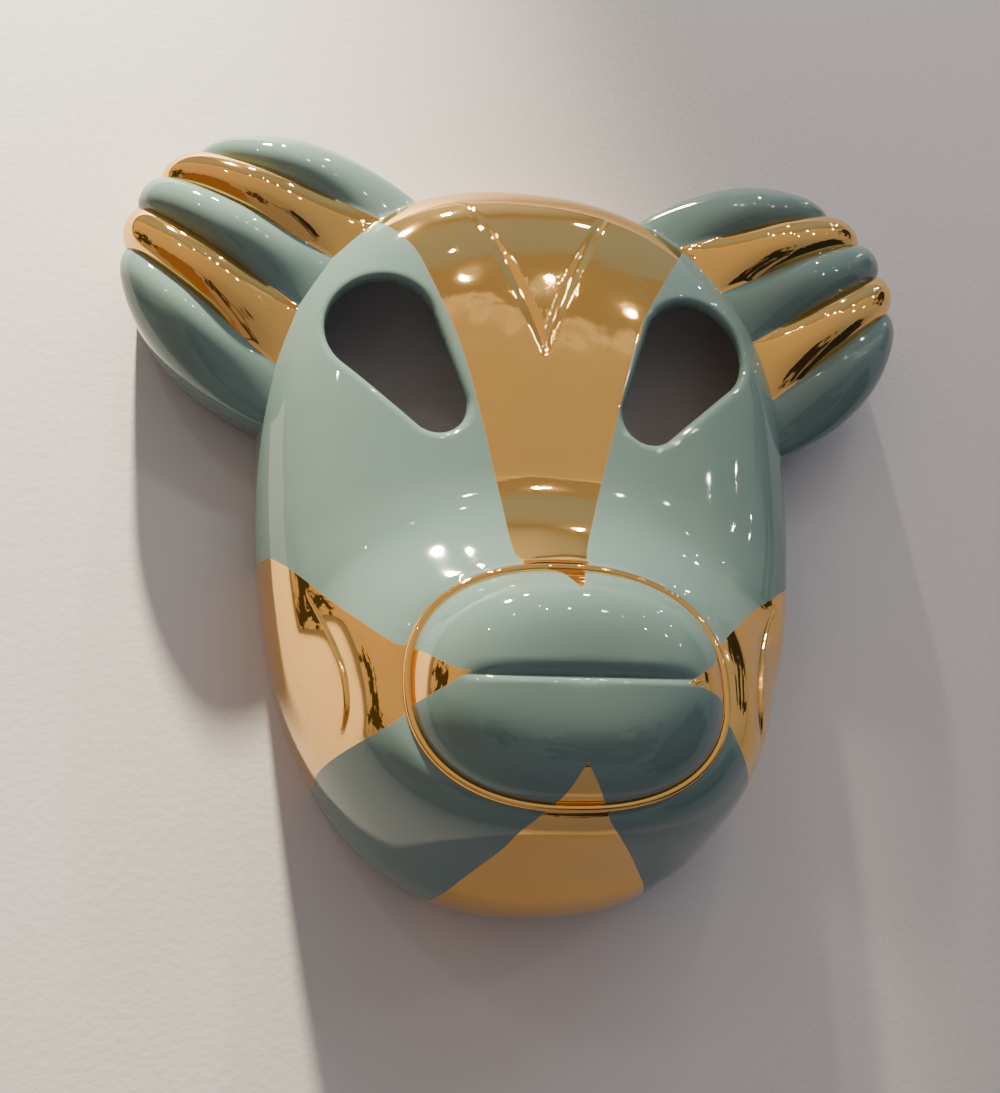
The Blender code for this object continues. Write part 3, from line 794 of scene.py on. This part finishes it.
def eye_plug():
    """A straight plug through the wall; the hole's edges are rolled afterwards."""
    run = EYE_SMALL - EYE_LARGE
    heading = math.atan2(run.y, run.x)
    lean = math.acos((EYE_LARGE_RADIUS - EYE_SMALL_RADIUS) / run.length)
    arcs = (
        (EYE_LARGE, EYE_LARGE_RADIUS, heading + lean, heading + 2.0 * math.pi - lean, EYE_LARGE_FACETS),
        (EYE_SMALL, EYE_SMALL_RADIUS, heading - lean, heading + lean, EYE_SMALL_FACETS),
    )
    bm = bmesh.new()
    for centre, radius, start, end, count in arcs:
        for step in range(count):
            turn = mix(start, end, step / (count - 1))
            bm.verts.new((*(centre + radius * Vector((math.cos(turn), math.sin(turn)))), 0.02))
    ring = bm.faces.new(bm.verts[:])
    body = bmesh.ops.extrude_face_region(bm, geom=[ring])["geom"]
    for vert in body:
        if isinstance(vert, bmesh.types.BMVert):
            vert.co.z = 0.2
    bmesh.ops.triangulate(bm, faces=[face for face in bm.faces if len(face.verts) > 4])
    bmesh.ops.recalc_face_normals(bm, faces=bm.faces)
    item = finish_mesh("eye_plug", bm)
    paint(item.data, "finish", NO_GOLD, 1.0)
    paint(item.data, "form", 0.0, EYE)
    return item


def foot_block():
    """A block below the wall plane, which cuts the foot rim flat."""
    bm = bmesh.new()
    bmesh.ops.create_cube(bm, size=1.0, matrix=Matrix.Diagonal((1.8, 1.8, 0.04, 1.0)))
    bmesh.ops.translate(bm, vec=(0.0, 0.0, -0.02), verts=bm.verts)
    item = finish_mesh("foot_block", bm)
    paint(item.data, "finish", NO_GOLD, -1.0)
    paint(item.data, "form", 0.0, FOOT)
    return item


def join_solids(item, steps):
    """Runs the Booleans and the mirror, keeps the mesh they give, and removes the cutters."""
    for operation, tool in steps:
        modifier = item.modifiers.new(tool.name, "BOOLEAN")
        modifier.operation = operation
        modifier.object = tool
        modifier.solver = "EXACT"
    mirror = item.modifiers.new("both sides", "MIRROR")
    mirror.use_axis[0] = True
    mirror.use_bisect_axis[0] = True
    mirror.use_mirror_merge = True
    mirror.bisect_threshold = 0.000001
    mirror.merge_threshold = 0.00002
    bpy.context.view_layer.update()
    graph = bpy.context.evaluated_depsgraph_get()
    mesh = bpy.data.meshes.new_from_object(item.evaluated_get(graph))
    item.modifiers.clear()
    item.data = mesh
    mesh.name = item.name
    for _operation, tool in steps:
        bpy.data.objects.remove(tool, do_unlink=True)


def kinds_of(vert, form):
    """Which solids the faces at a point come from."""
    return {round(loop[form].uv.y) for loop in vert.link_loops}


def roll_eye_edges(bm, form):
    """Rolls the outer edge of the eye holes in, and eases the inner one."""
    for vert in bm.verts:
        distance = eye_distance(vert.co.x, vert.co.y)
        if distance > EYE_ROLL or vert.co.z < 0.03:
            continue
        kinds = kinds_of(vert, form)
        distance = max(distance, 0.0)
        if HEAD in kinds:
            vert.co.z -= EYE_ROLL - math.sqrt(EYE_ROLL**2 - (EYE_ROLL - distance) ** 2)
        elif HOLLOW in kinds and distance < EYE_INNER_ROLL:
            rest = EYE_INNER_ROLL - distance
            vert.co.z += EYE_INNER_ROLL - math.sqrt(EYE_INNER_ROLL**2 - rest**2)


def glaze_lap(bm, finish, form):
    """The inside is bare clay; the glaze laps a little over the edges of the eye holes."""
    for face in bm.faces:
        for loop in face.loops:
            kind = round(loop[form].uv.y)
            place = loop.vert.co
            if kind == HOLLOW:
                loop[finish].uv.y = (GLAZE_LAP - abs(eye_distance(place.x, place.y))) * 20.0
            elif kind == FOOT:
                loop[finish].uv.y = -1.0


def build_mask():
    mask = head_form()
    # Rows of the ear's side, below its widest line: 1 is the wall plane and 2 lies behind it
    ear_rows = [2.0] + even(EAR_SIDE_ROWS, 1.0, 0.0)[:-1]
    ear = ear_form("ear_solid", LOBE_FACETS, EAR_ROWS, ear_rows, 0.0, EAR)
    hollow_rows = (2.0, 1.0, 0.75, 0.5, 0.25)
    ear_hollow = ear_form(
        "ear_hollow", CAVITY_LOBE_FACETS, CAVITY_EAR_ROWS, hollow_rows, WALL, HOLLOW
    )
    steps = [("UNION", ear)]
    for tool in (head_cavity(), ear_hollow, eye_plug(), foot_block()):
        steps.append(("DIFFERENCE", tool))
    join_solids(mask, steps)
    bm = bmesh.new()
    bm.from_mesh(mask.data)
    bmesh.ops.remove_doubles(bm, verts=bm.verts, dist=2e-5)
    bmesh.ops.triangulate(bm, faces=[face for face in bm.faces if len(face.verts) > 4])
    finish, form = bm.loops.layers.uv["finish"], bm.loops.layers.uv["form"]
    paint_head_gold(bm, finish, form)
    roll_eye_edges(bm, form)
    glaze_lap(bm, finish, form)
    bmesh.ops.translate(bm, vec=(0.0, FACE_SHIFT, 0.0), verts=bm.verts)
    bm.to_mesh(mask.data)
    print("mask faces", len(bm.faces), "open edges", sum(len(e.link_faces) != 2 for e in bm.edges))
    bm.free()
    mask.data.shade_smooth()
    mask.data.set_sharp_from_angle(angle=math.radians(55.0))
    return mask


class Nodes:
    """Small helper that adds nodes to a material or the world and links them."""

    def __init__(self, owner):
        owner.use_nodes = True
        self.tree = owner.node_tree

    def add(self, kind, values=None, **settings):
        node = self.tree.nodes.new(kind)
        for name, value in settings.items():
            setattr(node, name, value)
        for name, value in (values or {}).items():
            if isinstance(value, bpy.types.NodeSocket):
                self.tree.links.new(value, node.inputs[name])
            else:
                node.inputs[name].default_value = value
        return node

    def math(self, operation, first, second=0.0):
        return self.add("ShaderNodeMath", {0: first, 1: second}, operation=operation).outputs[0]

    def ramp(self, value, stops):
        node = self.add("ShaderNodeValToRGB", {"Fac": value})
        elements = node.color_ramp.elements
        for index, (place, colour) in enumerate(stops):
            stop = elements[index] if index < 2 else elements.new(place)
            stop.position = place
            stop.color = (*colour, 1.0)
        return node.outputs["Color"]

    def blend(self, share, first, second):
        node = self.add("ShaderNodeMix", data_type="RGBA")
        for socket, value in ((node.inputs[0], share), (node.inputs[6], first), (node.inputs[7], second)):
            if isinstance(value, bpy.types.NodeSocket):
                self.tree.links.new(value, socket)
            else:
                socket.default_value = value
        return node.outputs[2]

    def noise(self, place, scale, detail=2.0, roughness=0.5):
        values = {"Vector": place, "Scale": scale, "Detail": detail, "Roughness": roughness}
        return self.add("ShaderNodeTexNoise", values).outputs["Fac"]

    def span(self, value, low, high, start=0.0, end=1.0):
        values = {"Value": value, "From Min": low, "From Max": high, "To Min": start, "To Max": end}
        return self.add("ShaderNodeMapRange", values).outputs["Result"]


def keep_inside(item, box):
    """Brings the finer surface back inside the space that the plain solid takes."""
    low, high = box
    for vertex in item.data.vertices:
        for axis in range(3):
            vertex.co[axis] = min(max(vertex.co[axis], low[axis]), high[axis])


# Each colour's darker and paler tone
CELADON = ((0.110, 0.184, 0.190, 1.0), (0.133, 0.212, 0.214, 1.0))
SPECK = (0.08, 0.13, 0.13, 1.0)
LUSTRE = ((0.91, 0.53, 0.155, 1.0), (0.97, 0.59, 0.190, 1.0))
CLAY = ((0.72, 0.72, 0.68, 1.0), (0.82, 0.82, 0.78, 1.0))
PLASTER = ((0.565, 0.570, 0.630, 1.0), (0.605, 0.612, 0.670, 1.0))
GLAZE_IOR = 1.55
CLAY_ROUGHNESS = 0.85
PLASTER_ROUGHNESS = 0.75
# The gold's edge is this soft
GOLD_EDGE = 0.00015


def mask_material():
    """Celadon glaze, gold lustre over it and bare clay inside, on one shader."""
    material = bpy.data.materials.new("celadon_and_gold")
    nodes = Nodes(material)
    shader = nodes.tree.nodes["Principled BSDF"]
    place = nodes.add("ShaderNodeTexCoord").outputs["Object"]
    marks = nodes.add("ShaderNodeUVMap", uv_map="finish").outputs["UV"]
    split = nodes.add("ShaderNodeSeparateXYZ", {"Vector": marks})
    gold = nodes.span(split.outputs["X"], -GOLD_EDGE, GOLD_EDGE)
    ragged = nodes.span(nodes.noise(place, 90.0, 3.0), 0.3, 0.7, -0.06, 0.06)
    glaze = nodes.span(nodes.math("ADD", split.outputs["Y"], ragged), -0.01, 0.01)

    celadon = nodes.blend(nodes.noise(place, 7.0, 3.0), *CELADON)
    speck = nodes.span(nodes.noise(place, 1400.0, 1.0), 0.70, 0.78)
    celadon = nodes.blend(nodes.math("MULTIPLY", speck, 0.25), celadon, SPECK)
    lustre = nodes.blend(nodes.noise(place, 11.0, 2.0), *LUSTRE)
    clay = nodes.blend(nodes.noise(place, 30.0, 4.0), *CLAY)
    colour = nodes.blend(glaze, clay, nodes.blend(gold, celadon, lustre))
    metal = nodes.math("MULTIPLY", gold, glaze)

    haze = nodes.span(nodes.noise(place, 22.0, 3.0), 0.3, 0.7, 0.025, 0.045)
    gold_haze = nodes.span(nodes.noise(place, 35.0, 3.0), 0.3, 0.7, 0.020, 0.045)
    gloss = nodes.add("ShaderNodeMix", {0: gold, 2: haze, 3: gold_haze}).outputs[0]
    rough = nodes.add("ShaderNodeMix", {0: glaze, 2: CLAY_ROUGHNESS, 3: gloss}).outputs[0]

    swell = nodes.noise(place, 26.0, 1.0)
    grain = nodes.noise(place, 900.0, 2.0)
    bare = nodes.math("SUBTRACT", 1.0, glaze)
    gritty = nodes.math("MULTIPLY", grain, nodes.math("ADD", nodes.math("MULTIPLY", bare, 0.25), 0.006))
    relief = nodes.math("ADD", swell, gritty)
    bump = nodes.add("ShaderNodeBump", {"Strength": 0.35, "Distance": 0.0012, "Height": relief})

    links = nodes.tree.links
    links.new(colour, shader.inputs["Base Color"])
    links.new(metal, shader.inputs["Metallic"])
    links.new(rough, shader.inputs["Roughness"])
    links.new(bump.outputs["Normal"], shader.inputs["Normal"])
    shader.inputs["IOR"].default_value = GLAZE_IOR
    return material


def wall_material():
    """Pale plaster, the mask's own ground."""
    material = bpy.data.materials.new("pale_plaster")
    nodes = Nodes(material)
    shader = nodes.tree.nodes["Principled BSDF"]
    place = nodes.add("ShaderNodeTexCoord").outputs["Object"]
    tone = nodes.blend(nodes.noise(place, 5.0, 4.0), *PLASTER)
    bump = nodes.add(
        "ShaderNodeBump", {"Strength": 0.25, "Distance": 0.001, "Height": nodes.noise(place, 220.0, 3.0)}
    )
    nodes.tree.links.new(tone, shader.inputs["Base Color"])
    nodes.tree.links.new(bump.outputs["Normal"], shader.inputs["Normal"])
    shader.inputs["Roughness"].default_value = PLASTER_ROUGHNESS
    return material


def build_floor():
    bm = bmesh.new()
    bmesh.ops.create_grid(bm, x_segments=1, y_segments=1, size=4.0)
    bmesh.ops.translate(bm, vec=(0.0, 0.0, -0.0004), verts=bm.verts)
    floor = finish_mesh("floor", bm)
    floor.data.materials.append(wall_material())


# What the gloss mirrors, by how far towards +Y it lies: -1 at the chin's side, 1 at the forehead's
ROOM_BANDS = (
    (-1.00, (0.250, 0.240, 0.270)),
    (-0.60, (0.290, 0.275, 0.300)),
    (-0.15, (0.380, 0.350, 0.330)),
    (0.15, (0.560, 0.490, 0.400)),
    (0.46, (0.640, 0.540, 0.420)),
    (0.600, (0.700, 0.600, 0.455)),
    (0.622, (1.050, 0.930, 0.730)),
    (0.632, (0.430, 0.370, 0.290)),
    (0.700, (0.440, 0.375, 0.290)),
    (0.722, (0.420, 0.400, 0.330)),
    (0.735, (0.400, 0.460, 0.510)),
    (0.880, (0.430, 0.510, 0.580)),
    (0.920, (0.450, 0.480, 0.480)),
    (0.945, (0.400, 0.360, 0.290)),
    (0.965, (0.560, 0.600, 0.560)),
    (1.00, (0.900, 0.860, 0.760)),
)


# Dark things in the room: the way they lie, how near to it they reach as a cosine, their colour
DARK_THINGS = (
    ((0.85, -0.42, 0.32), 0.925, (0.030, 0.030, 0.032)),
    ((0.36, -0.44, 0.82), 0.965, (0.030, 0.030, 0.032)),
    ((-0.74, -0.36, 0.50), 0.93, (0.240, 0.150, 0.095)),
    ((-0.96, 0.12, 0.22), 0.980, (0.060, 0.060, 0.035)),
    ((0.90, 0.42, 0.10), 0.975, (0.050, 0.045, 0.035)),
    ((-0.30, -0.40, 0.86), 0.990, (0.060, 0.045, 0.040)),
)


def build_world():
    world = bpy.data.worlds.new("gallery_room")
    bpy.context.scene.world = world
    nodes = Nodes(world)
    way = nodes.add("ShaderNodeTexCoord").outputs["Generated"]
    split = nodes.add("ShaderNodeSeparateXYZ", {"Vector": way})
    wobble = nodes.span(nodes.noise(way, 4.6, 6.0, 0.62), 0.27, 0.73, -0.085, 0.085)
    aside = nodes.span(split.outputs["X"], -0.35, 0.45, -0.040, 0.035)
    far_off = nodes.math("ABSOLUTE", nodes.math("SUBTRACT", split.outputs["Y"], 0.62))
    torn = nodes.math("MULTIPLY", nodes.math("ADD", wobble, aside), nodes.span(far_off, 0.17, 0.06))
    up = nodes.math("ADD", split.outputs["Y"], torn)
    place = nodes.span(up, -1.0, 1.0)
    tone = nodes.ramp(place, [(0.5 + 0.5 * stop, colour) for stop, colour in ROOM_BANDS])
    streak = nodes.span(nodes.noise(way, 9.0, 4.0, 0.6), 0.0, 1.0, -0.10, 0.10)
    for heading, nearness, colour in DARK_THINGS:
        there = Vector(heading).normalized()
        values = {0: way, 1: tuple(there)}
        near = nodes.add("ShaderNodeVectorMath", values, operation="DOT_PRODUCT").outputs["Value"]
        seen = nodes.span(nodes.math("ADD", near, streak), nearness - 0.006, nearness + 0.006)
        tone = nodes.blend(seen, tone, (*colour, 1.0))
    side = nodes.span(split.outputs["X"], -0.7, 0.7)
    tint = nodes.blend(side, (1.20, 1.03, 0.86, 1.0), (0.70, 0.80, 0.98, 1.0))
    product = nodes.add("ShaderNodeMix", data_type="RGBA", blend_type="MULTIPLY")
    product.inputs[0].default_value = 1.0
    nodes.tree.links.new(tone, product.inputs[6])
    nodes.tree.links.new(tint, product.inputs[7])
    background = nodes.tree.nodes["Background"]
    nodes.tree.links.new(product.outputs[2], background.inputs["Color"])
    background.inputs["Strength"].default_value = 1.0


def aim(item, target):
    item.rotation_euler = (Vector(target) - item.location).to_track_quat("-Z", "Y").to_euler()


def add_lamp(name, place, target, size, power, colour):
    light = bpy.data.lights.new(name, "AREA")
    light.shape = "DISK"
    light.size = size
    light.energy = power
    light.color = colour
    lamp = bpy.data.objects.new(name, light)
    bpy.context.scene.collection.objects.link(lamp)
    lamp.location = place
    aim(lamp, target)
    return lamp


WARM = (1.0, 0.86, 0.66)
NEUTRAL = (1.0, 0.95, 0.88)
# Small ceiling lamps: the way they lie from the mask, how far, how wide, and their power
LAMPS = (
    ("key", (-0.05, 0.98, 0.17), 2.4, 0.070, 34.0, WARM),
    ("wash", (0.28, 0.92, 0.26), 2.4, 0.050, 6.0, WARM),
    ("track_1", (0.08, 0.71, 0.70), 2.6, 0.035, 2.2, NEUTRAL),
    ("track_2", (0.21, 0.68, 0.70), 2.6, 0.035, 2.2, NEUTRAL),
    ("track_3", (0.33, 0.64, 0.70), 2.6, 0.035, 2.2, NEUTRAL),
    ("track_4", (-0.40, 0.56, 0.72), 2.6, 0.035, 2.2, NEUTRAL),
    ("side_1", (0.51, 0.42, 0.75), 2.6, 0.030, 1.2, NEUTRAL),
    ("side_2", (0.68, 0.41, 0.61), 2.6, 0.040, 1.2, NEUTRAL),
    ("side_3", (0.68, 0.72, 0.10), 2.6, 0.050, 1.2, NEUTRAL),
    ("row_1", (0.41, 0.56, 0.72), 2.6, 0.022, 0.5, NEUTRAL),
    ("row_2", (0.67, 0.71, 0.22), 2.6, 0.022, 0.5, NEUTRAL),
    ("row_3", (0.62, 0.76, 0.14), 2.6, 0.022, 0.5, NEUTRAL),
    ("row_4", (0.75, 0.55, 0.35), 2.6, 0.022, 0.5, NEUTRAL),
    ("row_5", (0.80, 0.35, 0.50), 2.6, 0.022, 0.5, NEUTRAL),
    ("row_6", (0.55, 0.62, 0.56), 2.6, 0.022, 0.5, NEUTRAL),
    ("row_7", (-0.16, 0.72, 0.67), 2.6, 0.022, 0.5, NEUTRAL),
    ("row_8", (0.03, 0.80, 0.60), 2.6, 0.022, 0.5, NEUTRAL),
)
# The pool of light on the left, which fades towards the right
POOL_FROM = Vector((-0.42, 1.95, 0.62))
POOL_CENTRE = Vector((-0.54, -0.10, 0.0))
POOL_SPREAD = math.radians(44.0)
POOL_POWER = 1150.0
POOL_COLOUR = (1.0, 0.84, 0.56)


def build_lights():
    middle = Vector((0.0, 0.0, 0.08))
    for name, way, away, size, power, colour in LAMPS:
        add_lamp(name, middle + away * Vector(way).normalized(), middle, size, power, colour)
    light = bpy.data.lights.new("pool", "SPOT")
    light.energy = POOL_POWER
    light.color = POOL_COLOUR
    light.spot_size = POOL_SPREAD
    light.spot_blend = 1.0
    light.shadow_soft_size = 0.05
    pool = bpy.data.objects.new("pool", light)
    bpy.context.scene.collection.objects.link(pool)
    pool.location = POOL_FROM
    aim(pool, POOL_CENTRE)


# The photograph's own viewpoint, looking down on the mask as it lies
CAMERA_PLACE = (-0.15721, -0.19302, 0.74129)
CAMERA_TURNS = (13.6747, -11.0790, -0.1754)
FOCAL_PX = 1150.0
FRAME_HEIGHT_PX = 1093.0


def build_camera():
    data = bpy.data.cameras.new("camera")
    data.sensor_width = 36.0
    data.lens = data.sensor_width * FOCAL_PX / FRAME_HEIGHT_PX
    camera = bpy.data.objects.new("camera", data)
    bpy.context.scene.collection.objects.link(camera)
    camera.location = CAMERA_PLACE
    camera.rotation_euler = Euler([math.radians(turn) for turn in CAMERA_TURNS])
    bpy.context.scene.camera = camera


build_camera()
mask = build_mask()
keep_inside(mask, CAD_BOX)
mask.data.materials.clear()
mask.data.materials.append(mask_material())
for polygon in mask.data.polygons:
    polygon.material_index = 0
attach(mask, "root")
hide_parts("mask")
build_floor()
build_world()
build_lights()
